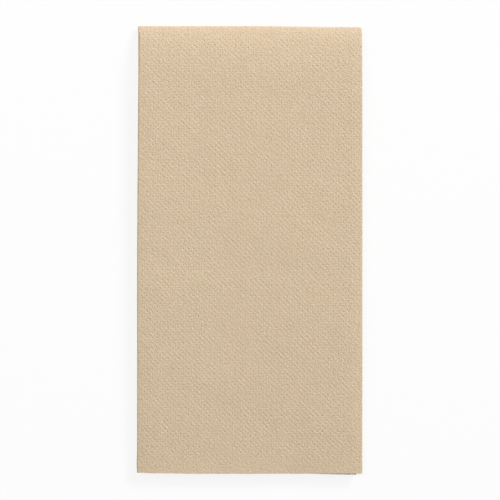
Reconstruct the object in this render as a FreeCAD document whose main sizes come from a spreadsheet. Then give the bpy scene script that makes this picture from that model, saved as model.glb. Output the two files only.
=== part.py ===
import FreeCAD, Part
import math
import os
import Sketcher

# A square paper sheet folded to an eighth. Two folds along its length make a
# strip of four layers, and one cross fold brings the strip back over itself.
# The folded sheet lies on the ground with the cross fold towards +Y, the cut
# ends towards -Y, the nested pair of folds along -X and the free edges along
# +X. Lengths are in mm and angles in degrees.
SIZES = {
    # The whole sheet once it is folded.
    "folded_width": 100.0,
    "folded_length": 198.8,
    "sheet_thickness": 0.25,
    "layer_gap": 0.10,
    # The strip of four layers across the width.
    "inner_fold_setback": 0.35,
    "first_edge_inset": 2.7,
    "second_edge_inset": 2.9,
    # The cross fold, and the way the upper half rises from it.
    "cross_fold_radius": 0.30,
    "cross_fold_sweep": 154.0,
    "nose_radius": 11.0,
    "nose_sweep": 12.0,
    "roll_radius": 42.0,
    "roll_sweep": 8.0,
    "shoulder_radius": 130.0,
    "mouth_gap": 1.50,
    # The faint valley across the middle of the upper half.
    "valley_position": -3.0,
    "run_in_radius": 300.0,
    "run_in_sweep": 1.2,
    "valley_radius": 60.0,
    "valley_sweep": 2.7,
    "run_out_radius": 200.0,
    # The cut ends, where the inner layers slip past the outer ones.
    "slip": 0.45,
    "slip_start": 25.0,
    "slip_full": 41.0,
    "closed_side_rise": 0.40,
    "closed_side_run": 28.0,
    "trim_allowance": 2.0,
}
NODE = "folded_napkin"
SHEET = "Sizes"

# Derived lengths, as expressions of the driving sizes.
PITCH = f"({SHEET}.sheet_thickness + {SHEET}.layer_gap)"
HALF_SHEET = f"{SHEET}.sheet_thickness / 2"
HALF_WIDTH = f"{SHEET}.folded_width / 2"
CREST_Y = f"({SHEET}.folded_length + {SHEET}.slip) / 2"
CUT_DEPTH = f"({SHEET}.folded_length - {SHEET}.slip) / 2"
END_DEPTH = f"({SHEET}.folded_length + {SHEET}.slip) / 2"
STRIP_DEPTH = f"({END_DEPTH} + {SHEET}.trim_allowance)"

# Sketcher's numbers for the points of an edge and for the sketch origin.
START, END, CENTRE = 1, 2, 3
ORIGIN = (-1, 1)
X_AXIS = -1


def vec(x, y, z=0.0):
    """Short form for a point or a direction."""
    return FreeCAD.Vector(x, y, z)


def add_sizes(doc):
    """Write the driving sizes to a spreadsheet, one alias to a row."""
    sheet = doc.addObject("Spreadsheet::Sheet", SHEET)
    for row, (name, value) in enumerate(SIZES.items(), start=1):
        sheet.set(f"A{row}", name)
        sheet.set(f"B{row}", str(value))
        sheet.setAlias(f"B{row}", name)
    doc.recompute()
    return sheet


def add_sketch(body, name, plane):
    """Attach a new sketch to one of the body's origin planes."""
    sketch = body.newObject("Sketcher::SketchObject", name)
    face = next(f for f in body.Origin.OriginFeatures if f.Role == plane)
    sketch.AttachmentSupport = [(face, "")]
    sketch.MapMode = "FlatFace"
    return sketch


def bind(sketch, name, expression, kind, *points):
    """Add a dimension to a sketch and drive it with an expression."""
    value = sketch.evalExpression(expression)
    if kind == "Angle":
        value = math.radians(value)
    index = sketch.addConstraint(Sketcher.Constraint(kind, *points, value))
    sketch.renameConstraint(index, name)
    unit = "1 deg" if kind == "Angle" else "1 mm"
    sketch.setExpression(f"Constraints.{name}", f"({expression}) * {unit}")
    return index


def size(name):
    """Expression text of one driving size."""
    return f"{SHEET}.{name}"


def draw_section(sketch):
    """Draw the four nested layers of the strip, cut square across its length.

    The outermost layer lies on the ground. A fold at the left joins it to the
    innermost layer round the fold that joins the two between them, and a fold
    at the right joins the two lowest layers.
    """
    thick = SIZES["sheet_thickness"]
    pitch = thick + SIZES["layer_gap"]
    half = SIZES["folded_width"] / 2
    outer_x = -half + 1.5 * pitch + thick / 2
    inner_x = outer_x + SIZES["inner_fold_setback"]
    open_x = half - 0.5 * pitch - thick / 2
    levels = [thick / 2 + pitch * k for k in range(4)]
    spans = [
        (outer_x, open_x),
        (inner_x, open_x),
        (inner_x, half - SIZES["second_edge_inset"]),
        (outer_x, half - SIZES["first_edge_inset"]),
    ]
    faces = []
    for level, (left, right) in zip(levels, spans):
        for z in (level - thick / 2, level + thick / 2):
            line = Part.LineSegment(vec(left, z), vec(right, z))
            faces.append(sketch.addGeometry(line))
            sketch.addConstraint(Sketcher.Constraint("Horizontal", faces[-1]))
    low = faces[0::2]
    high = faces[1::2]

    nested_z = thick / 2 + 1.5 * pitch
    open_z = thick / 2 + 0.5 * pitch
    outer_fold = add_fold(sketch, (outer_x, nested_z), 1.5 * pitch, thick, START,
                          (low[0], high[3]), (high[0], low[3]))
    inner_fold = add_fold(sketch, (inner_x, nested_z), 0.5 * pitch, thick, START,
                          (low[1], high[2]), (high[1], low[2]))
    open_fold = add_fold(sketch, (open_x, open_z), 0.5 * pitch, thick, END,
                         (low[0], high[1]), (high[0], low[1]))
    caps = [add_free_edge(sketch, low[k], high[k], spans[k][1], levels[k], thick)
            for k in (2, 3)]

    gap = f"{SHEET}.layer_gap"
    fold_reach = f"(1.5 * {PITCH} + {HALF_SHEET})"
    sketch.addConstraint(Sketcher.Constraint("PointOnObject", low[0], START, X_AXIS))
    bind(sketch, "thickness", f"{SHEET}.sheet_thickness", "DistanceY",
         caps[0], START, caps[0], END)
    bind(sketch, "inner_gap", gap, "DistanceY", high[2], END, low[3], START)
    bind(sketch, "inner_fold", f"{gap} / 2", "Radius", inner_fold)
    bind(sketch, "open_fold", f"{gap} / 2", "Radius", open_fold)
    bind(sketch, "closed_side", f"{HALF_WIDTH} - {fold_reach}", "DistanceX",
         outer_fold, CENTRE, *ORIGIN)
    bind(sketch, "setback", f"{SHEET}.inner_fold_setback", "DistanceX",
         outer_fold, CENTRE, inner_fold, CENTRE)
    bind(sketch, "open_side", f"{HALF_WIDTH} - 0.5 * {PITCH} - {HALF_SHEET}",
         "DistanceX", *ORIGIN, open_fold, CENTRE)
    bind(sketch, "second_edge", f"{HALF_WIDTH} - {SHEET}.second_edge_inset",
         "DistanceX", *ORIGIN, caps[0], START)
    bind(sketch, "first_edge", f"{HALF_WIDTH} - {SHEET}.first_edge_inset",
         "DistanceX", *ORIGIN, caps[1], START)


def add_fold(sketch, centre, radius, thick, side, outside, inside):
    """Join two layers with a pair of half circles about one centre.

    Returns the edge of the inner half circle.
    """
    turn = math.pi / 2 if side == START else -math.pi / 2
    made = []
    for reach, lines in ((radius - thick / 2, inside), (radius + thick / 2, outside)):
        circle = Part.Circle(vec(*centre), vec(0, 0, 1), reach)
        arc = sketch.addGeometry(Part.ArcOfCircle(circle, turn, turn + math.pi))
        made.append(arc)
        upper, lower = (START, END) if side == START else (END, START)
        for line, point in ((lines[0], lower), (lines[1], upper)):
            tangent = Sketcher.Constraint("Tangent", line, side, arc, point)
            sketch.addConstraint(tangent)
    sketch.addConstraint(Sketcher.Constraint("Coincident", made[0], CENTRE,
                                             made[1], CENTRE))
    return made[0]


def add_free_edge(sketch, low, high, x, level, thick):
    """Close the free edge of a layer with an upright line."""
    line = Part.LineSegment(vec(x, level - thick / 2), vec(x, level + thick / 2))
    cap = sketch.addGeometry(line)
    sketch.addConstraint(Sketcher.Constraint("Vertical", cap))
    sketch.addConstraint(Sketcher.Constraint("Coincident", low, END, cap, START))
    sketch.addConstraint(Sketcher.Constraint("Coincident", high, END, cap, END))
    return cap


class Walk:
    """Draws tangent lines and arcs in a sketch, each from the end of the last."""

    def __init__(self, sketch, point, heading=0.0):
        self.sketch = sketch
        self.point = point
        self.heading = heading
        self.last = None

    def join(self, edge, first, last):
        """Make the new edge tangent to the one before it."""
        if self.last is not None:
            tangent = Sketcher.Constraint("Tangent", *self.last, edge, first)
            self.sketch.addConstraint(tangent)
        self.last = (edge, last)
        return edge

    def line(self, length):
        """Go straight ahead."""
        way = vec(math.cos(self.heading), math.sin(self.heading))
        ahead = self.point + way * length
        edge = self.sketch.addGeometry(Part.LineSegment(self.point, ahead))
        self.point = ahead
        return self.join(edge, START, END)

    def arc(self, radius, sweep):
        """Turn left through a sweep, or right when it is negative."""
        turn = math.radians(sweep)
        hand = 1.0 if sweep > 0 else -1.0
        side = vec(-math.sin(self.heading), math.cos(self.heading)) * hand
        centre = self.point + side * radius
        begin = self.heading - hand * math.pi / 2
        low, high = sorted((begin, begin + turn))
        circle = Part.Circle(centre, vec(0, 0, 1), radius)
        edge = self.sketch.addGeometry(Part.ArcOfCircle(circle, low, high))
        self.heading += turn
        reach = vec(math.cos(begin + turn), math.sin(begin + turn)) * radius
        self.point = centre + reach
        if hand > 0:
            return self.join(edge, START, END)
        return self.join(edge, END, START)


def draw_path(sketch):
    """Draw the line that the innermost layer follows along the sheet.

    It runs over the ground to the cross fold and turns back. Three ever wider
    arcs then lead it up to a shoulder, and from there it falls slowly to the
    cut end, with a faint valley on the way.
    """
    thick = SIZES["sheet_thickness"]
    pitch = thick + SIZES["layer_gap"]
    crest = (SIZES["folded_length"] + SIZES["slip"]) / 2
    start_y = -crest - SIZES["trim_allowance"]
    start_z = thick / 2 + 3 * pitch
    turn_y = crest - SIZES["cross_fold_radius"] - start_z
    fall = math.degrees(math.atan2(estimate_fall(), turn_y - start_y))
    turned = SIZES["cross_fold_sweep"] + SIZES["nose_sweep"] + SIZES["roll_sweep"]
    rest = 180.0 - turned + fall
    walk = Walk(sketch, vec(start_y, start_z))
    lower = walk.line(turn_y - start_y)
    fold = walk.arc(SIZES["cross_fold_radius"], SIZES["cross_fold_sweep"])
    nose = walk.arc(SIZES["nose_radius"], SIZES["nose_sweep"])
    roll = walk.arc(SIZES["roll_radius"], SIZES["roll_sweep"])
    shoulder = walk.arc(SIZES["shoulder_radius"], rest)
    slope = walk.line(walk.point.x - SIZES["valley_position"])
    run_in = walk.arc(SIZES["run_in_radius"], SIZES["run_in_sweep"])
    valley = walk.arc(SIZES["valley_radius"], -SIZES["valley_sweep"])
    run_out = walk.arc(SIZES["run_out_radius"],
                       SIZES["valley_sweep"] - SIZES["run_in_sweep"])
    tail = walk.line(walk.point.x - start_y)

    sketch.addConstraint(Sketcher.Constraint("Horizontal", lower))
    sketch.addConstraint(Sketcher.Constraint("Parallel", slope, tail))
    sketch.addConstraint(Sketcher.Constraint("Vertical", lower, START, tail, END))
    bind(sketch, "start_depth", STRIP_DEPTH, "DistanceX", lower, START, *ORIGIN)
    bind(sketch, "start_height", f"{HALF_SHEET} + 3 * {PITCH}", "DistanceY",
         *ORIGIN, lower, START)
    reach = f"({SHEET}.cross_fold_radius + 3 * {PITCH} + {HALF_SHEET})"
    bind(sketch, "fold_centre", f"{CREST_Y} - {reach}", "DistanceX",
         *ORIGIN, fold, CENTRE)
    bind(sketch, "valley_start", f"{SHEET}.valley_position + {HALF_WIDTH}",
         "DistanceX", *add_mark(sketch), slope, END)
    bind(sketch, "mouth", f"{SHEET}.sheet_thickness + {SHEET}.mouth_gap",
         "DistanceY", lower, START, tail, END)
    for edge, name in ((fold, "cross_fold_radius"), (nose, "nose_radius"),
                       (roll, "roll_radius"), (shoulder, "shoulder_radius"),
                       (run_in, "run_in_radius"), (valley, "valley_radius"),
                       (run_out, "run_out_radius")):
        bind(sketch, name, size(name), "Radius", edge)
    for edge, name in ((fold, "cross_fold_sweep"), (nose, "nose_sweep"),
                       (roll, "roll_sweep"), (run_in, "run_in_sweep"),
                       (valley, "valley_sweep")):
        bind(sketch, name, size(name), "Angle", edge)
    return [lower, fold, nose, roll, shoulder, slope, run_in, valley, run_out, tail]


def add_mark(sketch):
    """Put a construction point half a width before the origin, to measure from.

    A distance in a sketch can't be negative, and the valley may start on
    either side of the origin.
    """
    mark = sketch.addGeometry(Part.Point(vec(-SIZES["folded_width"] / 2, 0)), True)
    sketch.addConstraint(Sketcher.Constraint("PointOnObject", mark, START, X_AXIS))
    bind(sketch, "mark", HALF_WIDTH, "DistanceX", mark, START, *ORIGIN)
    return mark, START


def estimate_fall():
    """How far the shoulder stands above the mouth, for the first drawing."""
    steep = math.radians(180.0 - SIZES["cross_fold_sweep"])
    middle = steep - math.radians(SIZES["nose_sweep"])
    gentle = middle - math.radians(SIZES["roll_sweep"])
    fold = SIZES["cross_fold_radius"] * (1.0 + math.cos(steep))
    nose = SIZES["nose_radius"] * (math.cos(middle) - math.cos(steep))
    roll = SIZES["roll_radius"] * (math.cos(gentle) - math.cos(middle))
    shoulder = SIZES["shoulder_radius"] * (1.0 - math.cos(gentle))
    mouth = SIZES["sheet_thickness"] + SIZES["mouth_gap"]
    return fold + nose + roll + shoulder - mouth


def draw_outline(sketch):
    """Outline what lies past the cut ends, as it is seen from above.

    The outer layers end square but for a little rise on the closed side, and
    the inner layers slip past them towards the open side.
    """
    half = SIZES["folded_width"] / 2
    allowance = SIZES["trim_allowance"]
    cut = -(SIZES["folded_length"] - SIZES["slip"]) / 2
    end = cut - SIZES["slip"]
    corners = [
        vec(-half - allowance, cut + SIZES["closed_side_rise"]),
        vec(-half, cut + SIZES["closed_side_rise"]),
        vec(-half + SIZES["closed_side_run"], cut),
        vec(SIZES["slip_start"], cut),
        vec(SIZES["slip_full"], end),
        vec(half + allowance, end),
        vec(half + allowance, end - 2 * allowance),
        vec(-half - allowance, end - 2 * allowance),
    ]
    edges = add_polygon(sketch, corners)
    for k in (0, 2, 4, 6):
        sketch.addConstraint(Sketcher.Constraint("Horizontal", edges[k]))
    for k in (5, 7):
        sketch.addConstraint(Sketcher.Constraint("Vertical", edges[k]))
    run = f"{HALF_WIDTH} - {SHEET}.closed_side_run"
    wide = f"{HALF_WIDTH} + {SHEET}.trim_allowance"
    bind(sketch, "far_left", wide, "DistanceX", edges[0], START, *ORIGIN)
    bind(sketch, "left", HALF_WIDTH, "DistanceX", edges[1], START, *ORIGIN)
    bind(sketch, "square_from", run, "DistanceX", edges[2], START, *ORIGIN)
    bind(sketch, "slip_start", size("slip_start"), "DistanceX",
         *ORIGIN, edges[3], START)
    bind(sketch, "slip_full", size("slip_full"), "DistanceX",
         *ORIGIN, edges[4], START)
    bind(sketch, "far_right", wide, "DistanceX", *ORIGIN, edges[5], START)
    bind(sketch, "cut", CUT_DEPTH, "DistanceY", edges[2], START, *ORIGIN)
    bind(sketch, "rise", size("closed_side_rise"), "DistanceY",
         edges[2], START, edges[1], START)
    bind(sketch, "end", END_DEPTH, "DistanceY", edges[4], START, *ORIGIN)
    bind(sketch, "far_end", f"{END_DEPTH} + 2 * {SHEET}.trim_allowance",
         "DistanceY", edges[6], START, *ORIGIN)


def draw_outer_ends(sketch):
    """Draw two boxes, seen from the side, over the ends of the outer layers.

    Each reaches from the gap between the second and third layers outwards, one
    for the lower half of the strip and one for the upper.
    """
    thick = SIZES["sheet_thickness"]
    pitch = thick + SIZES["layer_gap"]
    allowance = SIZES["trim_allowance"]
    cut = -(SIZES["folded_length"] - SIZES["slip"]) / 2
    far = cut - SIZES["slip"] - 2 * allowance
    low = thick / 2 + 1.5 * pitch
    high = low + 3 * pitch + thick + SIZES["mouth_gap"]
    bounds = ((-allowance, low, "below"), (high, high + 2 * allowance, "above"))
    for bottom, top, name in bounds:
        corners = [vec(far, bottom), vec(cut, bottom), vec(cut, top), vec(far, top)]
        edges = add_polygon(sketch, corners)
        for k in (0, 2):
            sketch.addConstraint(Sketcher.Constraint("Horizontal", edges[k]))
        for k in (1, 3):
            sketch.addConstraint(Sketcher.Constraint("Vertical", edges[k]))
        bind(sketch, f"{name}_cut", CUT_DEPTH, "DistanceX", edges[1], START, *ORIGIN)
        bind(sketch, f"{name}_far", f"{END_DEPTH} + 2 * {SHEET}.trim_allowance",
             "DistanceX", edges[0], START, *ORIGIN)
        gap = f"{HALF_SHEET} + 1.5 * {PITCH}"
        if name == "below":
            bind(sketch, "below_top", gap, "DistanceY", *ORIGIN, edges[2], START)
            bind(sketch, "below_bottom", size("trim_allowance"), "DistanceY",
                 edges[0], START, *ORIGIN)
        else:
            upper = f"{gap} + 3 * {PITCH} + {SHEET}.sheet_thickness + {SHEET}.mouth_gap"
            bind(sketch, "above_bottom", upper, "DistanceY",
                 *ORIGIN, edges[0], START)
            bind(sketch, "above_top", f"2 * {SHEET}.trim_allowance", "DistanceY",
                 edges[1], START, edges[1], END)


def add_polygon(sketch, corners):
    """Add a closed ring of lines, joined end to start."""
    ahead = corners[1:] + corners[:1]
    edges = [sketch.addGeometry(Part.LineSegment(a, b)) for a, b in zip(corners, ahead)]
    for edge, following in zip(edges, edges[1:] + edges[:1]):
        joint = Sketcher.Constraint("Coincident", edge, END, following, START)
        sketch.addConstraint(joint)
    return edges


def cut_through(body, sketch, name):
    """Remove a sketch from the body, right through it to both sides."""
    pocket = body.newObject("PartDesign::Pocket", name)
    pocket.Profile = sketch
    pocket.SideType = "Symmetric"
    pocket.Type = "ThroughAll"
    return pocket


def build(doc):
    """Sweep the folded strip along its path and trim its ends."""
    add_sizes(doc)
    body = doc.addObject("PartDesign::Body", NODE)
    body.Label = NODE
    section = add_sketch(body, "strip_section", "XZ_Plane")
    draw_section(section)
    section.setExpression("AttachmentOffset.Base.z", f"{STRIP_DEPTH} * 1 mm")
    path = add_sketch(body, "strip_path", "YZ_Plane")
    edges = draw_path(path)
    doc.recompute()

    sweep = body.newObject("PartDesign::AdditivePipe", "strip")
    sweep.Profile = section
    sweep.Spine = (path, [f"Edge{k + 1}" for k in range(len(edges))])
    doc.recompute()
    outline = add_sketch(body, "cut_outline", "XY_Plane")
    draw_outline(outline)
    cut_through(body, outline, "cut_ends")
    doc.recompute()
    ends = add_sketch(body, "outer_ends", "YZ_Plane")
    draw_outer_ends(ends)
    cut_through(body, ends, "outer_cut")
    doc.recompute()
    return body


def check(doc, body):
    """Stop if a feature failed or the body isn't one closed solid."""
    for item in doc.Objects:
        if "Invalid" in item.State or "Error" in item.State:
            raise RuntimeError(f"{item.Name} did not build: {item.State}")
    shape = body.Shape
    if shape.isNull() or not shape.isValid() or len(shape.Solids) != 1:
        raise RuntimeError(f"{body.Label} is not one valid solid")


def main():
    """Build the folded sheet and write it as a STEP file."""
    os.makedirs("parts", exist_ok=True)
    doc = FreeCAD.newDocument(NODE)
    body = build(doc)
    check(doc, body)
    body.Shape.exportStep(f"parts/{NODE}.step")
    box = body.Shape.BoundBox
    print(f"{NODE}: {box.XLength:.2f} x {box.YLength:.2f} x {box.ZLength:.2f} mm")


main()
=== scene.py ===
"""A paper napkin folded to an eighth, lying flat and seen from straight above.

The napkin is one embossed tissue sheet. Two folds along its length make a
strip of four layers, and a cross fold at +Y brings the strip back over itself.
The nested pair of folds is at -X, the free edges are at +X and the cut ends
at -Y. The napkin's lengths are in millimetres, as on a drawing, and its mesh is
written in metres. The studio's lengths are in metres.
"""

import logging
import math
from dataclasses import dataclass, field
from enum import Enum

import bpy
import numpy as np
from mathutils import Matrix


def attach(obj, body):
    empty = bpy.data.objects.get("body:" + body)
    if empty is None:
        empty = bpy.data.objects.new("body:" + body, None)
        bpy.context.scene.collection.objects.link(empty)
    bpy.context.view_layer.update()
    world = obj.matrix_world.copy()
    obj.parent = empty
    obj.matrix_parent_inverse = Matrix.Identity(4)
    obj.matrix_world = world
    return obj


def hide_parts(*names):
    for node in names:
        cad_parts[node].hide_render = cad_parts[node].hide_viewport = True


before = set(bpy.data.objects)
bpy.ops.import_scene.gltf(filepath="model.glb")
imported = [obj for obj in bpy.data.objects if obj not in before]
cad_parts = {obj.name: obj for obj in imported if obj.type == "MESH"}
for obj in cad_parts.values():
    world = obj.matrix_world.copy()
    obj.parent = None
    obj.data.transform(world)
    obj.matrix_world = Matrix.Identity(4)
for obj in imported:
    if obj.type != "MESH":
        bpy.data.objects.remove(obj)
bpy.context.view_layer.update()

MM = 0.001
NODE = "folded_napkin"
SHEET_MAP = "Sheet"
BAKED_MAP = "OFBake"
BAKED_SIDE = 1024.0
# Point attribute that is 1 at groove bottoms, where the material paints shade
GROOVE = "groove"
LAYER_GAPS = 3
NOISE_ROUGHNESS = 0.6
MIX_INPUTS = (0, 6, 7)
MIX_RESULT = 2

Numbers = float | np.ndarray

logging.basicConfig(level=logging.INFO, format="%(message)s")
log = logging.getLogger("napkin")


class Side(Enum):
    """The two faces of the sheet, by the sign of their offset from its middle."""

    OUTER = 1
    INNER = -1


class Patch(Enum):
    """The parts of the baked map, each a box of left, low, right and high.

    The boxes are in points of a map that is BAKED_SIDE points wide. The two
    halves that show have most of the room, and what is hidden has strips.
    """

    UPPER = (4, 4, 484, 964)
    LOWER = (490, 4, 970, 964)
    FIRST = (976, 4, 988, 964)
    SECOND = (993, 4, 1005, 964)
    FIRST_EDGE = (1009, 4, 1012, 964)
    SECOND_EDGE = (1016, 4, 1019, 964)
    INNER = (4, 970, 970, 1000)
    CUT_START = (4, 1005, 970, 1009)
    CUT_END = (4, 1014, 970, 1018)


@dataclass
class TangentLine:
    """A chain of straight runs and arcs, measured along its own length.

    Attributes:
        x: First coordinate of the start, and then of the end.
        y: Second coordinate of the start, and then of the end.
        heading: Direction at the start, and then at the end, in radians.
        pieces: Start, coordinates, heading and curvature of each piece.
        marks: Where each named piece starts.
        length: Length of the whole line.
    """

    x: float
    y: float
    heading: float
    pieces: list[tuple[float, float, float, float, float]] = field(default_factory=list)
    marks: dict[str, float] = field(default_factory=dict)
    length: float = 0.0

    def add(self, name: str, length: float, curvature: float = 0.0) -> None:
        """Add one piece and note where it starts.

        Args:
            name: Name for the start of the piece in marks.
            length: Length of the piece.
            curvature: One over its radius, positive for a left turn.
        """
        self.marks[name] = self.length
        self.pieces.append((self.length, self.x, self.y, self.heading, curvature))
        ends = self._walk(length, self.x, self.y, self.heading, curvature)
        self.x, self.y, self.heading = (float(value) for value in ends)
        self.length += length

    def turn(self, name: str, radius: float, degrees: float) -> None:
        """Add an arc, to the left for a positive angle.

        Args:
            name: Name for the start of the arc in marks.
            radius: Radius of the arc.
            degrees: Angle that the arc turns through.
        """
        sign = math.copysign(1.0, degrees)
        self.add(name, radius * math.radians(abs(degrees)), sign / radius)

    def at(self, s: np.ndarray) -> tuple[np.ndarray, np.ndarray, np.ndarray]:
        """Find points on the line.

        Args:
            s: Distances along the line. Past its ends it goes straight on.

        Returns:
            Both coordinates and the heading at each distance.
        """
        table = np.array(self.pieces)
        which = np.clip(np.searchsorted(table[:, 0], s, side="right") - 1, 0, None)
        start, x, y, heading, curvature = table[which].T
        return self._walk(s - start, x, y, heading, curvature)

    @staticmethod
    def _walk(step: Numbers, x: Numbers, y: Numbers, heading: Numbers,
              curvature: Numbers) -> tuple[Numbers, Numbers, Numbers]:
        """Go a step along an arc or a straight run from a known point.

        Args:
            step: Length of the step.
            x: First coordinate of the point.
            y: Second coordinate of the point.
            heading: Direction at the point, in radians.
            curvature: One over the radius, 0 for a straight run.

        Returns:
            Both coordinates and the heading at the end of the step.
        """
        turn = curvature * step
        half = turn / 2
        chord = step * np.sinc(half / np.pi)
        ahead = heading + half
        return x + chord * np.cos(ahead), y + chord * np.sin(ahead), heading + turn


def ease(distance: Numbers) -> Numbers:
    """Rise from 0 at no distance to 1 far away, level at the start.

    Args:
        distance: Distances in units of the reach of the rise.

    Returns:
        The rise at each distance, 0 for a negative one.
    """
    far = np.clip(distance, 0.0, None)
    return 1.0 - (1.0 + far) * np.exp(-far)


@dataclass(frozen=True)
class Bell:
    """A rise along one direction, or a dip where its height is negative."""

    height: float
    centre: float
    reach: float

    def at(self, place: np.ndarray) -> np.ndarray:
        """Height of the bell at each place."""
        return self.height * np.exp(-((place - self.centre) / self.reach) ** 2)


@dataclass(frozen=True)
class Step:
    """A soft step along one direction, half done at its centre."""

    height: float
    centre: float
    reach: float

    def at(self, place: np.ndarray) -> np.ndarray:
        """Height of the step at each place."""
        return self.height / (1.0 + np.exp((self.centre - place) / self.reach))


@dataclass(frozen=True)
class Ripple:
    """A long low wave that runs in one direction over the sheet.

    Attributes:
        spacing: Distance from one crest to the next.
        turn: Direction that it runs in, in radians from +X.
        rise: Height of its crests.
    """

    spacing: float
    turn: float
    rise: float

    def at(self, x: np.ndarray, y: np.ndarray, start: float) -> np.ndarray:
        """Height of the wave.

        Args:
            x: Places across the folded width.
            y: Places along the folded length.
            start: Angle that it starts from at the origin, in radians.

        Returns:
            The height at each place.
        """
        way = x * math.cos(self.turn) + y * math.sin(self.turn)
        return self.rise * np.sin(2.0 * math.pi * way / self.spacing + start)


@dataclass(frozen=True)
class Emboss:
    """The basket of short grooves that is pressed into the tissue.

    The sheet is ruled in squares, and every second square along both
    directions holds a groove from corner to corner. Those in even columns fall
    to the right and those in odd columns rise.

    Attributes:
        across: Mean width of a square.
        along: Mean length of a square.
        falling_share: Share of each pair of squares that the falling one has.
        groove_width: Width of a groove at its middle.
        depth: Depth of a groove at its middle.
        border: Least distance from the squares to a fold or an end.
        rim: Width of the narrow row beside each cut end.
        side_reach: How fast the depth fades in from a long side.
        fold_reach: How fast it fades in from the cross fold.
        end_reach: How fast it fades in from the upper cut end.
    """

    across: float = 1.146
    along: float = 1.156
    falling_share: float = 0.58
    groove_width: float = 0.60
    depth: float = 0.14
    border: float = 0.80
    rim: float = 0.04
    side_reach: float = 0.6
    fold_reach: float = 1.2
    end_reach: float = 2.0


@dataclass(frozen=True)
class LooseLie:
    """How loose tissue departs from its plain folded shape.

    The napkin gives its width and the places of its cross fold and cut ends.
    """

    width: float
    crest_y: float
    cut_y: float
    # The faint valley across the middle of the upper half
    valley_y: float = -8.2
    valley_slant: float = 0.035
    valley_depth: float = 0.13
    valley_sides: tuple[Step, Step] = (Step(0.08, -24.0, -5.0), Step(-0.05, 28.0, 5.0))
    valley_up: float = 8.0
    valley_down: float = 3.6
    # The pressed and curled parts of the upper cut end
    pressed: tuple[Bell, Bell] = (Bell(-0.42, 21.0, 13.0), Bell(-0.22, -49.0, 7.0))
    pressed_run: float = 24.0
    curl: Bell = Bell(0.16, -29.0, 9.0)
    curl_run: float = 7.0
    # The soft unevenness of the upper half
    waves: tuple[Ripple, ...] = (
        Ripple(61.0, 0.3, 0.060), Ripple(47.0, 2.0, 0.045), Ripple(33.0, 4.4, 0.030),
        Ripple(23.0, 1.2, 0.018), Ripple(17.0, 3.1, 0.012), Ripple(12.5, 5.3, 0.008),
        Ripple(9.5, 0.9, 0.006), Ripple(7.5, 2.6, 0.0045), Ripple(6.2, 4.0, 0.0035),
    )
    wave_start: float = 1.7
    # Sideways shifts of the two long edges
    left_offset: float = 0.10
    left_drift: float = 0.21
    drift_centre: float = 30.0
    drift_reach: float = 25.0
    left_spacing: float = 11.0
    left_flare: Bell = Bell(-0.20, 4.5, 3.5)
    right_offset: float = 0.12
    right_corner: float = 0.12
    right_corner_reach: float = 3.0
    right_crest: Bell = Bell(-0.09, 0.0, 40.0)
    right_cut: Bell = Bell(-0.03, 0.0, 30.0)
    right_spacing: float = 9.0
    right_start: float = 1.0
    edge_wave: float = 0.02
    # Shift of the upper half off its closed edge
    tuck_depth: float = 0.5
    tuck_from_crest: float = 4.5
    tuck_above: float = 1.3
    tuck_below: float = 17.0
    tuck_reach: float = 5.0
    # How far the cross fold falls back towards the open side
    crest_loss: float = 0.40
    crest_loss_start: float = 6.0
    crest_loss_run: float = 28.0
    corner_loss: float = 0.25
    corner_reach: float = 1.6
    loss_reach: float = 6.0

    def relief(self, x: np.ndarray, y: np.ndarray) -> np.ndarray:
        """Height that the upper half gains or loses over its plain shape.

        It holds the faint valley across the middle, the pressed and curled
        parts of the cut end and the soft unevenness of loose tissue.

        Args:
            x: Places across the folded width.
            y: Places along the folded length.

        Returns:
            The height to add.
        """
        past = y - (self.valley_y - self.valley_slant * x)
        reach = np.where(past > 0.0, self.valley_up, self.valley_down)
        strength = self.valley_depth
        for side in self.valley_sides:
            strength = strength + side.at(x)
        height = -strength * np.exp(-(past / reach) ** 2)
        pressed = sum(bell.at(x) for bell in self.pressed)
        height = height + pressed * self.near_cut(y, self.pressed_run)
        height = height + self.curl.at(x) * self.near_cut(y, self.curl_run)
        for number, wave in enumerate(self.waves):
            height = height + wave.at(x, y, self.wave_start * number)
        return height

    def near_cut(self, y: np.ndarray, run: float) -> np.ndarray:
        """Share that grows over the last run of the sheet to 1 at its cut end."""
        return np.clip((self.cut_y + run - y) / run, 0.0, None) ** 2

    def left_shift(self, y: np.ndarray) -> np.ndarray:
        """Sideways shift of the left edge at each place along it."""
        drift = self.left_offset + self.left_drift * np.tanh(
            (y - self.drift_centre) / self.drift_reach)
        drift = drift + self.edge_wave * np.sin(y / self.left_spacing)
        return drift + self.left_flare.at(y - self.cut_y)

    def right_shift(self, y: np.ndarray) -> np.ndarray:
        """Sideways shift of the right edge at each place along it."""
        bow = -self.right_corner * np.exp(-(self.crest_y - y) / self.right_corner_reach)
        bow = bow + self.right_crest.at(y - self.crest_y)
        bow = bow - self.right_offset + self.right_cut.at(y - self.cut_y)
        return bow + self.edge_wave * np.sin(y / self.right_spacing + self.right_start)

    def sway(self, x: np.ndarray, y: np.ndarray) -> np.ndarray:
        """Sideways shift of both halves, which makes the long edges less straight.

        Args:
            x: Places across the folded width.
            y: Places along the folded length.

        Returns:
            The shift to add to x.
        """
        left = np.clip(0.5 - x / self.width, 0.0, 1.0)
        return left * self.left_shift(y) + (1.0 - left) * self.right_shift(y)

    def tuck(self, x: np.ndarray, y: np.ndarray) -> np.ndarray:
        """Shift of the upper half off its closed edge, next to the cross fold.

        The nested folds bunch up where the cross fold turns them, and the
        lower half shows past the upper one from there on.

        Args:
            x: Places across the folded width.
            y: Places along the folded length.

        Returns:
            The shift to add to x.
        """
        past = y - (self.crest_y - self.tuck_from_crest)
        strength = np.where(past > 0.0, np.exp(-(past / self.tuck_above) ** 2),
                            np.exp(past / self.tuck_below))
        side = np.clip(x + self.width / 2, 0.0, None)
        return self.tuck_depth * strength * np.exp(-side / self.tuck_reach)

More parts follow.
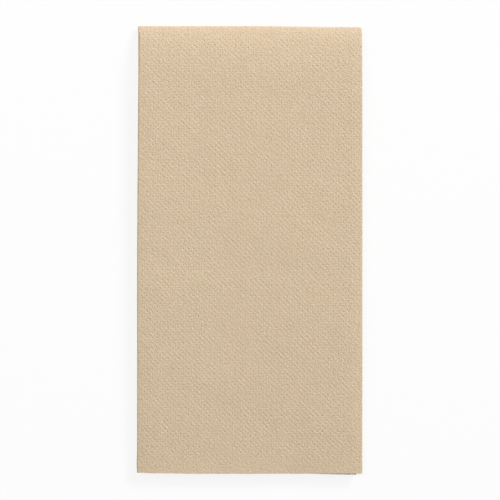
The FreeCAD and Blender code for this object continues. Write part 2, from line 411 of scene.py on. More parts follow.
    def recede(self, x: np.ndarray, y: np.ndarray) -> np.ndarray:
        """How far the cross fold falls back towards the open side.

        Args:
            x: Places across the folded width.
            y: Places along the folded length.

        Returns:
            The shift to add to y.
        """
        side = np.clip(self.width / 2 - x, 0.0, None)
        back = self.crest_loss * np.clip(
            (x - self.crest_loss_start) / self.crest_loss_run, 0.0, 1.0)
        back = back + self.corner_loss * np.exp(-side / self.corner_reach)
        return -back * np.exp(-np.clip(self.crest_y - y, 0.0, None) / self.loss_reach)


@dataclass
class FoldedNapkin:
    """The whole sheet, folded, as one closed mesh with its real thickness.

    The coarse places are measured from the folds and edges on both sides of
    each layer. The inner side and the hidden layers have only these columns.
    """

    # The folded size and the layers
    width: float = 100.0
    length: float = 198.8
    thickness: float = 0.25
    pinch: float = 0.30
    loft: float = 0.40
    loft_reach: float = 1.3
    crest_reach: float = 3.5
    # The nested folds and the two free edges
    inner_setback: float = 0.35
    first_inset: float = 2.7
    second_inset: float = 2.9
    # The cross fold and the slope of the upper half
    fold_radius: float = 0.30
    fold_sweep: float = 154.0
    nose_radius: float = 11.0
    nose_sweep: float = 12.0
    roll_radius: float = 42.0
    roll_sweep: float = 8.0
    shoulder_radius: float = 130.0
    fall: float = 0.40
    upper_gain: float = 2.2
    relief_reach: float = 2.0
    # The cut ends
    slip: float = 0.45
    slip_start: float = 25.0
    slip_full: float = 41.0
    closed_rise: float = 0.40
    closed_run: float = 28.0
    closed_power: float = 1.5
    fuzz: tuple[tuple[float, float, float], ...] = ((0.05, 3.1, 1.0), (0.03, 7.3, 2.0))
    # The columns and rows of the mesh
    coarse_places: tuple[float, ...] = (0.0, 0.6, 1.5, 3.5, 8.0, 15.0, 22.0, 29.0, 37.0, 45.0)
    edge_share: float = 0.45
    closed_steps: int = 10
    open_steps: int = 8
    inner_steps: int = 6
    fold_rows: int = 15
    coarse_step: int = 4
    rim_rows: int = 2
    least_row: float = 0.3
    bend_rows: float = 12.0
    end_rows: float = 8.0
    emboss: Emboss = Emboss()

    def __post_init__(self) -> None:
        """Lay out the folded section, the path along the sheet and the nodes."""
        self.crest_y = (self.length + self.slip) / 2
        self.cut_y = self.crest_y - self.length
        self.lie = LooseLie(self.width, self.crest_y, self.cut_y)
        self.section = self._section()
        self.path = self._path()
        self.columns, self.panel, self.shared = self._columns()
        self.rows, self.grooved, self.coarse = self._rows()

    def _section(self) -> TangentLine:
        """Trace the four layers, from the free edge of the innermost one."""
        half = self.width / 2
        closed_radius = LAYER_GAPS / 2 * self.pinch
        closed_x = -half + closed_radius + self.thickness / 2
        inner_x = closed_x + self.inner_setback
        single_radius = self.pinch / 2
        open_x = half - single_radius - self.thickness / 2
        first_x = half - self.first_inset
        line = TangentLine(first_x, 0.0, math.pi)
        line.add("first", first_x - closed_x)
        line.turn("closed", closed_radius, -180.0)
        line.add("outermost", open_x - closed_x)
        line.turn("open", single_radius, -180.0)
        line.add("third", open_x - inner_x)
        line.turn("inner", single_radius, 180.0)
        line.add("second", half - self.second_inset - inner_x)
        return line

    def _path(self) -> TangentLine:
        """Trace the innermost layer along the sheet, through the cross fold."""
        reach = self.fold_radius + LAYER_GAPS * self.pinch + self.thickness / 2
        fold_y = self.crest_y - reach
        line = TangentLine(self.cut_y, self.thickness / 2 + LAYER_GAPS * self.loft, 0.0)
        line.add("lower", fold_y - self.cut_y)
        line.turn("fold", self.fold_radius, self.fold_sweep)
        line.turn("nose", self.nose_radius, self.nose_sweep)
        line.turn("roll", self.roll_radius, self.roll_sweep)
        rest = 180.0 + self.fall - self.fold_sweep - self.nose_sweep - self.roll_sweep
        line.turn("shoulder", self.shoulder_radius, rest)
        line.add("upper", (line.x - self.cut_y) / math.cos(math.radians(self.fall)))
        return line

    def _columns(self) -> tuple[np.ndarray, np.ndarray, np.ndarray]:
        """Divide the sheet across its width.

        Returns:
            The columns' places, which of them lie in the embossed outer panel
            and which are also used on the inner side.
        """
        marks = self.section.marks
        before = np.concatenate((
            self._layer_columns("first", marks["closed"]),
            self._fold_columns("closed", "outermost", self.closed_steps),
        ))
        outer, used = self._panel_columns()
        after = np.concatenate((
            self._fold_columns("open", "third", self.open_steps),
            self._layer_columns("third", marks["inner"]),
            self._fold_columns("inner", "second", self.inner_steps),
            self._layer_columns("second", self.section.length),
        ))
        self.first_square += len(before)
        places = np.concatenate((before, outer, after))
        panel = np.zeros(len(places), bool)
        panel[len(before):len(before) + len(outer)] = True
        shared = ~panel
        shared[panel] = used
        return places, panel, shared

    def _layer_columns(self, name: str, end: float) -> np.ndarray:
        """Coarse columns of one layer, from its mark to its end."""
        return self.section.marks[name] + self._insets(end - self.section.marks[name])

    def _insets(self, length: float) -> np.ndarray:
        """Coarse places of a layer of some length, from both of its sides."""
        coarse = np.array(self.coarse_places)
        return np.concatenate((coarse, length - coarse[::-1]))

    def _fold_columns(self, name: str, following: str, count: int) -> np.ndarray:
        """Columns inside one fold, between two marks and without its ends."""
        marks = self.section.marks
        return np.linspace(marks[name], marks[following], count + 1)[1:-1]

    def _panel_columns(self) -> tuple[np.ndarray, np.ndarray]:
        """Divide the outer panel in squares, and note where they start.

        Returns:
            The columns of the panel, and which of them lie nearest to the
            coarse places and so are used on the inner side.
        """
        start, end = self.section.marks["outermost"], self.section.marks["open"]
        emboss = self.emboss
        count = int((end - start - 2 * emboss.border) / emboss.across)
        border = (end - start - count * emboss.across) / 2
        squares = start + border + emboss.across * np.arange(count + 1)
        longer = (emboss.falling_share - 0.5) * emboss.across
        squares += np.where(np.arange(count + 1) % 2 == 0, -longer, longer)
        edge = np.array([0.0, self.edge_share]) * border
        values = np.concatenate((start + edge, squares, end - edge[::-1]))
        near = [np.argmin(np.abs(values - w)) for w in self._insets(end - start) + start]
        self.first_square = len(edge)
        self.squares_across = count
        return values, np.isin(np.arange(len(values)), near)

    def _rows(self) -> tuple[np.ndarray, np.ndarray, np.ndarray]:
        """Divide the sheet along its length.

        A very narrow row beside each cut end keeps the shading of the rim off
        the face of the sheet.

        Returns:
            The rows' places, which of them start a grooved square and the
            numbers of the rows that the plain parts of the sheet use.
        """
        marks = self.path.marks
        step = self.emboss.along
        fold, nose, end = marks["fold"], marks["nose"], self.path.length
        border = self.emboss.border
        lower = border + step * np.arange(int((fold - border) / step) + 1)
        arc = np.linspace(fold, nose, self.fold_rows)
        count = int((end - nose - border) / step)
        upper = end - border - step * np.arange(count + 1)[::-1]
        lower = lower[lower < fold - self.least_row * step]
        upper = upper[upper > nose + self.least_row * step]
        rim = self.emboss.rim
        places = np.concatenate(([0.0, rim], lower, arc, upper, [end - rim, end]))
        arc_start = self.rim_rows + len(lower)
        ruled = np.zeros(len(places), bool)
        ruled[self.rim_rows:arc_start] = True
        ruled[arc_start + len(arc):-self.rim_rows] = True
        longer = (self.emboss.falling_share - 0.5) * step
        places += ruled * np.where(np.arange(len(places)) % 2 == 0, longer, -longer)
        grooved = ruled & np.append(ruled[1:], False)
        picked = np.abs(places - (fold + nose) / 2) < self.bend_rows
        picked |= places > end - self.end_rows
        picked |= np.arange(len(places)) % self.coarse_step == 0
        picked[:self.rim_rows + 1] = True
        picked[-self.rim_rows - 1:] = True
        return places, grooved, np.flatnonzero(picked)

    def parting(self, x: np.ndarray, v: np.ndarray) -> np.ndarray:
        """How much wider the layers stand apart than at a fold.

        Args:
            x: Places across the folded width.
            v: Places along the sheet.

        Returns:
            The factor on the distance between layers.
        """
        marks = self.path.marks
        side = (self.width / 2 - np.abs(x)) / self.loft_reach
        crest = np.abs(v - (marks["fold"] + marks["nose"]) / 2) / self.crest_reach
        return 1.0 + (self.loft / self.pinch - 1.0) * ease(side) * ease(crest)

    def trim(self, u: np.ndarray, x: np.ndarray) -> np.ndarray:
        """How far the cut end of each layer reaches past the square end.

        Args:
            u: Places across the flat sheet.
            x: The same places across the folded width.

        Returns:
            The reach, negative where the end falls short.
        """
        marks = self.section.marks
        half = self.width / 2
        rise = -self.closed_rise * np.clip(
            (self.closed_run - half - x) / self.closed_run, 0.0, 1.0) ** self.closed_power
        slip = self.slip * np.clip(
            (x - self.slip_start) / (self.slip_full - self.slip_start), 0.0, 1.0)
        slips = (u < marks["closed"]) | (u > marks["second"])
        fuzz = sum(reach * np.sin(x * pace + u * shift) for reach, pace, shift in self.fuzz)
        return rise + np.where(slips, slip, 0.0) + fuzz

    def place(self, u: np.ndarray, v: np.ndarray, lift: np.ndarray) -> np.ndarray:
        """Find where points of the flat sheet lie once it is folded.

        Args:
            u: Places across the flat sheet.
            v: Places along the flat sheet.
            lift: Distance from the sheet's middle, positive on its outer side.

        Returns:
            One row of x, y and z for each point.
        """
        x, layer, turn = self.section.at(u)
        out = layer * self.parting(x, v) + lift * np.cos(turn)
        across = x - lift * np.sin(turn)
        y, z, heading = self.path.at(v)
        y = y + out * np.sin(heading)
        z = z - out * np.cos(heading)
        share = np.clip((heading / math.pi - 0.5) * self.upper_gain, 0.0, 1.0)
        share = share * share * (3.0 - 2.0 * share)
        lie = self.lie
        shift = lie.sway(across, y) + share * lie.tuck(across, y)
        from_crest = (self.crest_y - y) / self.relief_reach
        z = z + share * ease(from_crest) * lie.relief(across, y)
        return np.column_stack((across + shift, y + lie.recede(across, y), z))

    def travelled(self, u: np.ndarray, v: np.ndarray) -> np.ndarray:
        """Find how far along its own layer each point lies.

        The outer layers have the longer way round the cross fold.

        Args:
            u: Places across the flat sheet.
            v: Places along the innermost layer.

        Returns:
            The distance of each point from the start of its layer.
        """
        return v + self.section.at(u)[1] * self.path.at(v)[2]

    def build(self) -> bpy.types.Object:
        """Make the closed mesh of the whole sheet.

        Returns:
            The sheet's object, at the origin.
        """
        mesh_plan = SheetMesh(self)
        mesh_plan.cover_outer()
        mesh_plan.cover_inner()
        mesh_plan.close_cut_ends()
        mesh_plan.close_free_edges()
        return mesh_plan.finish("napkin_sheet")


class SheetMesh:
    """Collects the points and faces of the sheet, row by row."""

    def __init__(self, napkin: FoldedNapkin) -> None:
        """Start with the nodes of both sides of the sheet.

        Args:
            napkin: The folded napkin that places the points.
        """
        self.napkin = napkin
        across, along = len(napkin.columns), len(napkin.rows)
        self.shape = (across, along)
        u, v = np.meshgrid(napkin.columns, napkin.rows, indexing="ij")
        x = napkin.section.at(napkin.columns)[0]
        trim = napkin.trim(napkin.columns, x)
        v = v.copy()
        v[:, :napkin.rim_rows] -= trim[:, None]
        v[:, -napkin.rim_rows:] += trim[:, None]
        half = napkin.thickness / 2
        self.u = [u.ravel(), u.ravel()]
        self.v = [v.ravel(), v.ravel()]
        self.lift = [np.full(u.size, half), np.full(u.size, -half)]
        self.pit = [np.zeros(2 * u.size)]
        self.count = 2 * u.size
        self.faces: list[tuple[int, ...]] = []
        self.smooth: list[bool] = []
        self.patch: list[Patch] = []

    def node(self, side: Side, column: int, row: int) -> int:
        """Number of the point at a column and row of one face of the sheet."""
        start = 0 if side is Side.OUTER else self.shape[0] * self.shape[1]
        return start + column * self.shape[1] + row

    def add(self, face: tuple[int, ...], smooth: bool, patch: Patch) -> None:
        """Keep one face.

        Args:
            face: Its points, in order round its outward side.
            smooth: True to shade it with its neighbours.
            patch: The part of the baked map that it belongs to.
        """
        self.faces.append(face)
        self.smooth.append(smooth)
        self.patch.append(patch)

    def side_run(self, column: int, low: int, high: int) -> list[int]:
        """List the outer points of one column between two coarse rows.

        Args:
            column: Number of the column.
            low: The lower row.
            high: The higher row.

        Returns:
            The points' numbers, both rows included.
        """
        if self.napkin.panel[column]:
            return [self.node(Side.OUTER, column, row) for row in range(low, high + 1)]
        return [self.node(Side.OUTER, column, row) for row in (low, high)]

    def cover_outer(self) -> None:
        """Cover the outer side, with grooves in the squares of the panel."""
        napkin = self.napkin
        middle = len(napkin.rows) // 2
        for column in range(self.shape[0] - 1):
            if napkin.panel[column] and napkin.panel[column + 1]:
                self.cover_panel_strip(column, middle)
                continue
            for low, high in zip(napkin.coarse[:-1], napkin.coarse[1:]):
                left = self.side_run(column, low, high)
                right = self.side_run(column + 1, low, high)
                patch = self.patch_of(napkin.columns[column], low < middle)
                self.add(tuple(left + right[::-1]), True, patch)

    def patch_of(self, u: float, is_lower: bool) -> Patch:
        """Part of the baked map for a face of the outer side.

        Args:
            u: Where the face starts across the flat sheet.
            is_lower: True in the lower half of the folded sheet.

        Returns:
            The part of the map.
        """
        marks = self.napkin.section.marks
        if u < marks["closed"]:
            return Patch.FIRST
        if u >= marks["third"]:
            return Patch.SECOND
        return Patch.LOWER if is_lower else Patch.UPPER

    def cover_panel_strip(self, column: int, middle: int) -> None:
        """Cover one strip of the embossed panel.

        Args:
            column: The strip's first column.
            middle: The row that parts the lower half from the upper half.
        """
        napkin = self.napkin
        square = column - napkin.first_square
        inside = 0 <= square < napkin.squares_across
        for row in range(self.shape[1] - 1):
            patch = Patch.LOWER if row < middle else Patch.UPPER
            corners = (
                self.node(Side.OUTER, column, row),
                self.node(Side.OUTER, column, row + 1),
                self.node(Side.OUTER, column + 1, row + 1),
                self.node(Side.OUTER, column + 1, row),
            )
            if inside and napkin.grooved[row] and square % 2 != row % 2:
                self.press_groove(corners, square % 2 == 0, patch)
            else:
                self.add(corners, True, patch)

    def press_groove(self, corners: tuple[int, ...], falling: bool, patch: Patch) -> None:
        """Press one groove into a square of the outer side, corner to corner.

        Args:
            corners: The square's corners, in order round its outward side.
            falling: True to join the first and third corners, False for the
                second and fourth.
            patch: The part of the baked map that the square belongs to.
        """
        first, after, last, before = corners if falling else (*corners[1:], corners[0])
        u, v = self.u[0], self.v[0]
        centre_u = (u[first] + u[last]) / 2
        centre_v = (v[first] + v[last]) / 2
        reach = self.napkin.emboss.groove_width / 2
        span_u, span_v = u[after] - u[before], v[after] - v[before]
        scale = reach / math.hypot(span_u, span_v)
        number = self.count
        half = self.napkin.thickness / 2
        x = self.napkin.section.at(np.array([centre_u]))[0]
        depth = self.napkin.emboss.depth * self.fade(x, centre_v)[0]
        sides = np.array([scale, -scale, 0.0])
        self.u.append(centre_u + span_u * sides)
        self.v.append(centre_v + span_v * sides)
        self.lift.append(np.array([half, half, half - depth]))
        # The bottom point gets 1 in the groove mask, which darkens the colour there as painted
        # shade
        self.pit.append(np.array([0.0, 0.0, 1.0]))
        self.count += len(sides)
        near_after, near_before, bottom = range(number, self.count)
        for face in ((first, after, near_after), (after, last, near_after),
                     (last, before, near_before), (before, first, near_before)):
            self.add(face, True, patch)
        for face in ((first, near_after, bottom), (near_after, last, bottom),
                     (last, near_before, bottom), (near_before, first, bottom)):
            self.add(face, False, patch)

    def fade(self, x: Numbers, v: Numbers) -> Numbers:
        """Share of the groove's depth that is left near a fold or the upper cut end.

        Args:
            x: Places across the folded width.
            v: Places along the sheet.

        Returns:
            Factors from 0 to 1.
        """
        napkin, emboss = self.napkin, self.napkin.emboss
        marks = napkin.path.marks
        side = (napkin.width / 2 - np.abs(x)) / emboss.side_reach
        crest = np.abs(v - (marks["fold"] + marks["nose"]) / 2) / emboss.fold_reach
        tip = (napkin.path.length - v) / emboss.end_reach
        return ease(side) * ease(crest) * ease(tip)

    def cover_inner(self) -> None:
        """Cover the inner side with its coarse squares."""
        napkin = self.napkin
        used = np.flatnonzero(napkin.shared)
        for left, right in zip(used[:-1], used[1:]):
            for low, high in zip(napkin.coarse[:-1], napkin.coarse[1:]):
                self.add((
                    self.node(Side.INNER, left, low), self.node(Side.INNER, right, low),
                    self.node(Side.INNER, right, high), self.node(Side.INNER, left, high),
                ), True, Patch.INNER)

    def close_cut_ends(self) -> None:
        """Join the two sides along both cut ends, in fans from the inner side."""
        used = np.flatnonzero(self.napkin.shared)
        last = self.shape[1] - 1
        for left, right in zip(used[:-1], used[1:]):
            half = (right - left) // 2
            for row, patch in ((0, Patch.CUT_START), (last, Patch.CUT_END)):
                outer = [self.node(Side.OUTER, k, row) for k in range(left, right + 1)]
                near, far = (self.node(Side.INNER, k, row) for k in (left, right))
                fan = [(outer[half], far, near)]
                for k, pair in enumerate(zip(outer[:-1], outer[1:])):
                    fan.append((*pair, near if k < half else far))
                for face in fan:
                    self.add(face if row == 0 else face[::-1], False, patch)

    def close_free_edges(self) -> None:
        """Join the two sides along both long free edges."""
        coarse = self.napkin.coarse
        last = self.shape[0] - 1
        for low, high in zip(coarse[:-1], coarse[1:]):
            for column, patch in ((0, Patch.FIRST_EDGE), (last, Patch.SECOND_EDGE)):
                ring = (
                    self.node(Side.INNER, column, low), self.node(Side.INNER, column, high),
                    self.node(Side.OUTER, column, high), self.node(Side.OUTER, column, low),
                )
                self.add(ring if column == 0 else ring[::-1], False, patch)

    def finish(self, name: str) -> bpy.types.Object:
        """Make the object from the faces that were kept.

        Args:
            name: Name for the object and its mesh.

        Returns:
            The new object, linked to the scene.
        """
        u, v = np.concatenate(self.u), np.concatenate(self.v)
        lift, pit = np.concatenate(self.lift), np.concatenate(self.pit)
        sizes = np.array([len(face) for face in self.faces])
        corners = np.concatenate([np.array(face) for face in self.faces])
        used, corners = np.unique(corners, return_inverse=True)
        u, v, lift, pit = u[used], v[used], lift[used], pit[used]
        points = self.napkin.place(u, v, lift) * MM

        mesh = bpy.data.meshes.new(name)
        mesh.vertices.add(len(points))
        mesh.vertices.foreach_set("co", points.astype(np.float32).ravel())
        mesh.loops.add(len(corners))
        mesh.loops.foreach_set("vertex_index", corners.astype(np.int32))
        mesh.polygons.add(len(sizes))
        starts = np.concatenate(([0], np.cumsum(sizes)[:-1]))
        mesh.polygons.foreach_set("loop_start", starts.astype(np.int32))
        mesh.polygons.foreach_set("loop_total", sizes.astype(np.int32))
        mesh.polygons.foreach_set("use_smooth", np.array(self.smooth))
        mesh.update(calc_edges=True)
        mesh.validate()

        along = self.napkin.travelled(u, v)
        pairs = np.column_stack((u[corners], along[corners])) * MM
        mesh.uv_layers.new(name=SHEET_MAP).data.foreach_set(
            "uv", pairs.astype(np.float32).ravel())
        baked = self.lay_out(u[corners], v[corners], lift[corners], sizes)
        mesh.uv_layers.new(name=BAKED_MAP).data.foreach_set(
            "uv", baked.astype(np.float32).ravel())
        # Mask for the painted shade at the groove bottoms, read by the material
        groove = mesh.attributes.new(GROOVE, "FLOAT", "POINT")
        groove.data.foreach_set("value", pit.astype(np.float32))
        edges = {Patch.FIRST_EDGE, Patch.SECOND_EDGE, Patch.CUT_START, Patch.CUT_END}
        slots = np.array([patch in edges for patch in self.patch], np.int32)
        mesh.polygons.foreach_set("material_index", slots)
        mesh.update()
        piece = bpy.data.objects.new(name, mesh)
        bpy.context.scene.collection.objects.link(piece)
        return piece

    def lay_out(self, u: np.ndarray, v: np.ndarray, lift: np.ndarray,
                sizes: np.ndarray) -> np.ndarray:
        """Give each corner its place on the baked map.

        Args:
            u: Place of each corner across the flat sheet.
            v: Place of each corner along it.
            lift: Distance of each corner from the sheet's middle.
            sizes: Number of corners of each face.

        Returns:
            One row of two map coordinates for each corner.
        """
        patches = list(Patch)
        which = np.repeat([patches.index(patch) for patch in self.patch], sizes)
        places = np.zeros((len(u), 2))
        for number, patch in enumerate(patches):
            mine = which == number
            if patch in (Patch.FIRST_EDGE, Patch.SECOND_EDGE):
                pair = np.column_stack((lift[mine], v[mine]))
            elif patch in (Patch.CUT_START, Patch.CUT_END):
                pair = np.column_stack((u[mine], lift[mine]))
            else:
                pair = np.column_stack((u[mine], v[mine]))
            low, high = pair.min(axis=0), pair.max(axis=0)
            box = np.array(patch.value, float).reshape(2, 2) / BAKED_SIDE
            places[mine] = box[0] + (pair - low) / (high - low) * (box[1] - box[0])
        return places


class NodeTree:
    """Short forms for adding and joining the nodes of one shader tree."""

    def __init__(self, tree: bpy.types.NodeTree) -> None:
        """Work on one tree.

        Args:
            tree: The tree that gets the nodes.
        """
        self.tree = tree

    def add(self, kind: str, **inputs: object) -> bpy.types.Node:
        """Add a node and set its inputs.

        Args:
            kind: The node's type, without its leading ShaderNode.
            **inputs: A value or a socket for each input, with _ for a space.

        Returns:
            The new node.
        """
        node = self.tree.nodes.new("ShaderNode" + kind)
        for name, value in inputs.items():
            self.feed(node.inputs[name.replace("_", " ")], value)
        return node

    def feed(self, socket: bpy.types.NodeSocket, value: object) -> None:
        """Join a socket to another, or give it a plain value.

        Args:
            socket: The input.
            value: The output that feeds it, or its value.
        """
        if isinstance(value, bpy.types.NodeSocket):
            self.tree.links.new(value, socket)
        else:
            socket.default_value = value

    def calculate(self, operation: str, *values: object,
                  clamp: bool = False) -> bpy.types.NodeSocket:
        """Add a Math node.

        Args:
            operation: The node's operation.
            *values: A number or a socket for each of its inputs.
            clamp: True to keep the result between 0 and 1.

        Returns:
            The result's socket.
        """
        node = self.tree.nodes.new("ShaderNodeMath")
        node.operation = operation
        node.use_clamp = clamp
        for socket, value in zip(node.inputs, values):
            self.feed(socket, value)
        return node.outputs[0]

    def vector(self, operation: str, *values: object) -> bpy.types.NodeSocket:
        """Add a Vector Math node.

        Args:
            operation: The node's operation.
            *values: A vector or a socket for each of its inputs.

        Returns:
            The result's socket.
        """
        node = self.tree.nodes.new("ShaderNodeVectorMath")
        node.operation = operation
        for socket, value in zip(node.inputs, values):
            self.feed(socket, value)
        return node.outputs[0]

    def noise(self, place: bpy.types.NodeSocket, size: float, detail: float,
              output: str = "Fac") -> bpy.types.NodeSocket:
        """Add a noise texture.

        Args:
            place: Where it is read.
            size: Size of its blots.
            detail: Number of finer layers.
            output: Name of the output.

        Returns:
            The output's socket.
        """
        node = self.add("TexNoise", Vector=place, Scale=1.0 / size, Detail=detail,
                        Roughness=NOISE_ROUGHNESS)
        return node.outputs[output]


@dataclass(frozen=True)
class FibreMat:
    """The felted fibres of tissue: threads, grain and slow unevenness, in mm."""

    thread_width: float = 0.085
    thread_length: float = 0.80
    thread_turns: tuple[float, ...] = (45.0, 105.0, 165.0)
    thread_contrast: float = 9.0
    bend: float = 0.45
    bend_size: float = 1.2
    grain: float = 0.34
    grain_turn: float = 45.0
    drawn_share: float = 0.4
    hue_size: float = 1.2
    cloud: float = 7.0

    def group(self) -> bpy.types.NodeTree:
        """Build the node group, or find it if it is built.

        Its input is a place in millimetres on the flat sheet. Its outputs are
        the threads, the grain, the hue and the cloud, all about 0.

        Returns:
            The node group.
        """
        name = "felted_fibres"
        if name in bpy.data.node_groups:
            return bpy.data.node_groups[name]
        group = bpy.data.node_groups.new(name, "ShaderNodeTree")
        group.interface.new_socket("Place", in_out="INPUT", socket_type="NodeSocketVector")
        for output in ("Threads", "Grain", "Hue", "Cloud"):
            group.interface.new_socket(output, in_out="OUTPUT", socket_type="NodeSocketFloat")
        tree = NodeTree(group)
        place = group.nodes.new("NodeGroupInput").outputs["Place"]
        bend = tree.noise(place, self.bend_size, detail=1.0, output="Color")
        bent = tree.vector("MULTIPLY_ADD", bend, (self.bend, self.bend, 0.0), place)
        threads = None
        for turn in self.thread_turns:
            line = self.threads(tree, bent, turn)
            threads = line if threads is None else tree.calculate("MAXIMUM", threads, line)
        drawn = tree.vector("MULTIPLY", self.turned(tree, place, self.grain_turn),
                            (self.drawn_share, 1.0, 1.0))
        values = {
            "Threads": threads,
            "Grain": tree.noise(drawn, self.grain, detail=3.0),
            "Hue": tree.noise(bent, self.hue_size * self.grain, detail=2.0),
            "Cloud": tree.noise(place, self.cloud, detail=2.0),
        }
        out = group.nodes.new("NodeGroupOutput")
        for output, value in values.items():
            tree.feed(out.inputs[output], tree.calculate("SUBTRACT", value, 0.5))
        return group

    def threads(self, tree: NodeTree, place: bpy.types.NodeSocket,
                turn: float) -> bpy.types.NodeSocket:
        """Draw the threads that lie about one direction.

        Args:
            tree: The tree that gets the nodes.
            place: The place on the sheet.
            turn: The direction in degrees.

        Returns:
            A value that is 1 on a thread.
        """
        drawn = tree.vector("MULTIPLY", self.turned(tree, place, turn),
                            (self.thread_width / self.thread_length, 1.0, 1.0))
        value = tree.noise(drawn, self.thread_width, detail=0.0)
        off = tree.calculate("ABSOLUTE", tree.calculate("SUBTRACT", value, 0.5))
        return tree.calculate("MULTIPLY_ADD", off, -self.thread_contrast, 1.0, clamp=True)

    def turned(self, tree: NodeTree, place: bpy.types.NodeSocket,
               turn: float) -> bpy.types.NodeSocket:
        """Turn a place about the origin, in degrees."""
        node = tree.add("VectorRotate", Vector=place, Angle=math.radians(turn))
        return node.outputs[0]


@dataclass(frozen=True)
class TissueFinish:
    """Unbleached two-ply tissue: matt, fibrous, a little uneven in colour, and with painted shade
    at its groove bottoms.
    """

    name: str
    colour: tuple[float, float, float] = (0.639, 0.499, 0.339)
    roughness: float = 0.95
    thread_tone: float = 0.45
    grain_tone: float = 2.05
    hue_tone: float = 2.2
    cloud_tone: float = 0.12
    # Painted shade: how much darker the colour is at the groove bottoms
    groove_shade_tone: float = 0.08
    bump_mm: float = 0.05
    thread_height: float = 0.3
    shine: float = 0.2
    swing: tuple[float, float, float] = (0.32, 0.40, 0.60)
    rosy: tuple[float, float, float] = (1.035, 0.96, 1.07)
    straw: tuple[float, float, float] = (0.965, 1.04, 0.93)

    def material(self) -> bpy.types.Material:
        """Make the material, from the fibres and painted shade at the bottoms of the grooves.

        Returns:
            The new material.
        """
        made = bpy.data.materials.new(self.name)
        made.use_nodes = True
        tree = NodeTree(made.node_tree)
        shader = made.node_tree.nodes["Principled BSDF"]
        flat = tree.add("UVMap")
        flat.uv_map = SHEET_MAP
        place = tree.vector("DIVIDE", flat.outputs["UV"], (MM, MM, 1.0))
        fibres = tree.add("Group")
        fibres.node_tree = FibreMat().group()
        tree.feed(fibres.inputs["Place"], place)
        # The groove attribute is 1 at each groove's bottom and marks where shade is painted
        pressed = tree.add("Attribute")
        pressed.attribute_name = GROOVE

        tone = tree.calculate("MULTIPLY_ADD", fibres.outputs["Grain"], self.grain_tone, 0.5)
        tone = tree.calculate("MULTIPLY_ADD", fibres.outputs["Threads"], self.thread_tone, tone)
        tone = tree.calculate("MULTIPLY_ADD", fibres.outputs["Cloud"], self.cloud_tone, tone)
        # Painted shade: the colour darkens towards each groove's bottom, standing in for the shade
        # there
        tone = tree.calculate("MULTIPLY_ADD", pressed.outputs["Fac"], -self.groove_shade_tone, tone,
                              clamp=True)
        dark, light = self.shades()
        shade = self.blend(tree, "MIX", tone, (*dark, 1.0), (*light, 1.0))
        hue = tree.calculate("MULTIPLY_ADD", fibres.outputs["Hue"], self.hue_tone, 0.5, clamp=True)
        tint = self.blend(tree, "MIX", hue, (*self.rosy, 1.0), (*self.straw, 1.0))
        tree.feed(shader.inputs["Base Color"], self.blend(tree, "MULTIPLY", 1.0, shade, tint))
        height = tree.calculate("MULTIPLY_ADD", fibres.outputs["Threads"],
                                self.thread_height, fibres.outputs["Grain"])
        bump = tree.add("Bump", Height=height, Strength=1.0, Distance=self.bump_mm * MM)
        tree.feed(shader.inputs["Normal"], bump.outputs["Normal"])
        shader.inputs["Roughness"].default_value = self.roughness
        shader.inputs["Specular IOR Level"].default_value = self.shine
        return made

    def shades(self) -> tuple[tuple[float, ...], tuple[float, ...]]:
        """Find the darkest and lightest colours, the darker one the warmer.

        Returns:
            The dark and the light colour.
        """
        dark = tuple(c * (1.0 - k) for c, k in zip(self.colour, self.swing))
        light = tuple(c * (1.0 + k) for c, k in zip(self.colour, self.swing))
        return dark, light

    def blend(self, tree: NodeTree, kind: str, *values: object) -> bpy.types.NodeSocket:
        """Add a node that blends two colours.

        Args:
            tree: The tree that gets the node.
            kind: The way of blending.
            *values: The share and the two colours, each a value or a socket.

        Returns:
            The result's socket.
        """
        node = tree.add("Mix")
        node.data_type = "RGBA"
        node.blend_type = kind
        for number, value in zip(MIX_INPUTS, values):
            tree.feed(node.inputs[number], value)
        return node.outputs[MIX_RESULT]


@dataclass(frozen=True)
class Lamp:
    """One square soft light, aimed at the napkin.

    Attributes:
        name: Name for the light.
        azimuth: Its direction from the napkin, in degrees from +X.
        elevation: Its height above the table, in degrees.
        distance: Its distance in metres.
        size: Side of the square in metres.
        watts: Its power.
    """

    name: str
    azimuth: float
    elevation: float
    distance: float
    size: float
    watts: float

    def hang(self) -> bpy.types.Object:
        """Hang the light in its place.

        Returns:
            The light's object.
        """
        data = bpy.data.lights.new(self.name, "AREA")
        data.shape = "SQUARE"
        data.size = self.size
        data.energy = self.watts
        made = bpy.data.objects.new(self.name, data)
        turn, rise = math.radians(self.azimuth), math.radians(self.elevation)
        made.location = (
            self.distance * math.cos(rise) * math.cos(turn),
            self.distance * math.cos(rise) * math.sin(turn),
            self.distance * math.sin(rise),
        )
        made.rotation_euler = (math.pi / 2 - rise, 0.0, turn + math.pi / 2)
        bpy.context.scene.collection.objects.link(made)
        return made


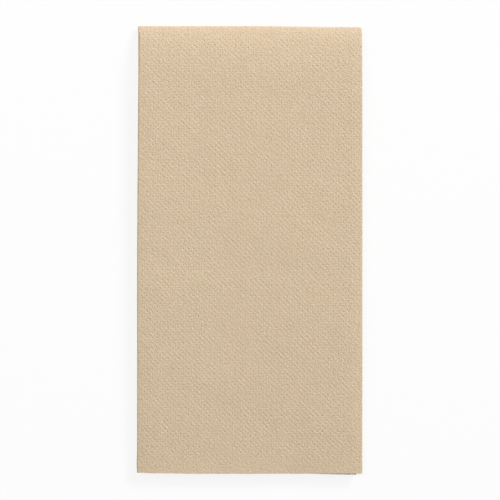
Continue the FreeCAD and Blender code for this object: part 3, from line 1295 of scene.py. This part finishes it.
@dataclass
class Studio:
    """The pale table top, the soft light and the camera straight above."""

    table_side: float = 3.0
    table_grey: float = 0.9
    table_roughness: float = 0.9
    table_glow: float = 0.85
    frame_width: float = 0.2226
    camera_height: float = 1.2
    sensor_width: float = 36.0
    view_centre: tuple[float, float] = (0.0, 0.00005)
    view_depth: float = 10.0
    room_level: float = 0.28
    lamps: tuple[Lamp, ...] = (
        Lamp("window", 45.0, 28.0, 2.4, 0.7, 54.5),
        Lamp("fill", 140.0, 65.0, 0.7, 0.4, 1.35),
        Lamp("bounce", 245.0, 30.0, 1.6, 0.8, 2.2),
    )

    def table_top(self) -> bpy.types.Object:
        """Lay the white table top that the napkin's shadow falls on.

        Returns:
            The table top.
        """
        bpy.ops.object.select_all(action="DESELECT")
        bpy.ops.mesh.primitive_plane_add(size=self.table_side, location=(0.0, 0.0, 0.0))
        top = bpy.context.active_object
        top.name = top.data.name = "table_top"
        made = bpy.data.materials.new("white_table_top")
        made.use_nodes = True
        tree = NodeTree(made.node_tree)
        shader = made.node_tree.nodes["Principled BSDF"]
        shader.inputs["Base Color"].default_value = (*[self.table_grey] * 3, 1.0)
        shader.inputs["Roughness"].default_value = self.table_roughness
        glow = tree.add("Emission", Color=(1.0, 1.0, 1.0, 1.0))
        seen = tree.add("LightPath").outputs["Is Camera Ray"]
        mix = tree.add("MixShader", Fac=tree.calculate("MULTIPLY", seen, self.table_glow))
        tree.feed(mix.inputs[1], shader.outputs[0])
        tree.feed(mix.inputs[2], glow.outputs[0])
        tree.feed(made.node_tree.nodes["Material Output"].inputs["Surface"], mix.outputs[0])
        top.data.materials.append(made)
        return top

    def light(self) -> None:
        """Set the soft room light and the lamps."""
        world = bpy.data.worlds.new("soft_room")
        bpy.context.scene.world = world
        world.use_nodes = True
        back = world.node_tree.nodes["Background"]
        back.inputs["Color"].default_value = (1.0, 1.0, 1.0, 1.0)
        tree = NodeTree(world.node_tree)
        path = tree.add("LightPath")
        seen = tree.calculate("ADD", path.outputs["Is Camera Ray"], path.outputs["Is Glossy Ray"])
        seen = tree.calculate("ADD", seen, path.outputs["Is Transmission Ray"], clamp=True)
        level = tree.calculate("MULTIPLY_ADD", seen, 1.0 - self.room_level, self.room_level)
        tree.feed(back.inputs["Strength"], level)
        for lamp in self.lamps:
            lamp.hang()

    def camera(self) -> bpy.types.Object:
        """Set the camera straight above, with +Y at the top of the picture.

        Returns:
            The camera.
        """
        data = bpy.data.cameras.new("camera")
        data.type = "PERSP"
        data.sensor_fit = "HORIZONTAL"
        data.sensor_width = self.sensor_width
        data.lens = self.sensor_width * self.camera_height / self.frame_width
        data.clip_end = self.view_depth
        made = bpy.data.objects.new("camera", data)
        made.location = (*self.view_centre, self.camera_height)
        bpy.context.scene.collection.objects.link(made)
        bpy.context.scene.camera = made
        return made

    def dress(self) -> None:
        """Set up the table top, the light and the camera."""
        bpy.context.scene.view_settings.view_transform = "Standard"
        self.table_top()
        self.light()
        self.camera()


def main() -> None:
    """Build and dress the napkin, then set up what it is seen with."""
    napkin = FoldedNapkin()
    sheet = napkin.build()
    sheet.data.materials.append(TissueFinish("embossed_tissue").material())
    edge = TissueFinish("cut_tissue_edge", colour=(0.668, 0.532, 0.378), bump_mm=0.08)
    sheet.data.materials.append(edge.material())
    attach(sheet, "root")
    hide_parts(NODE)
    Studio().dress()
    log.info("table_top: with its light and camera")


if __name__ == "__main__":
    main()
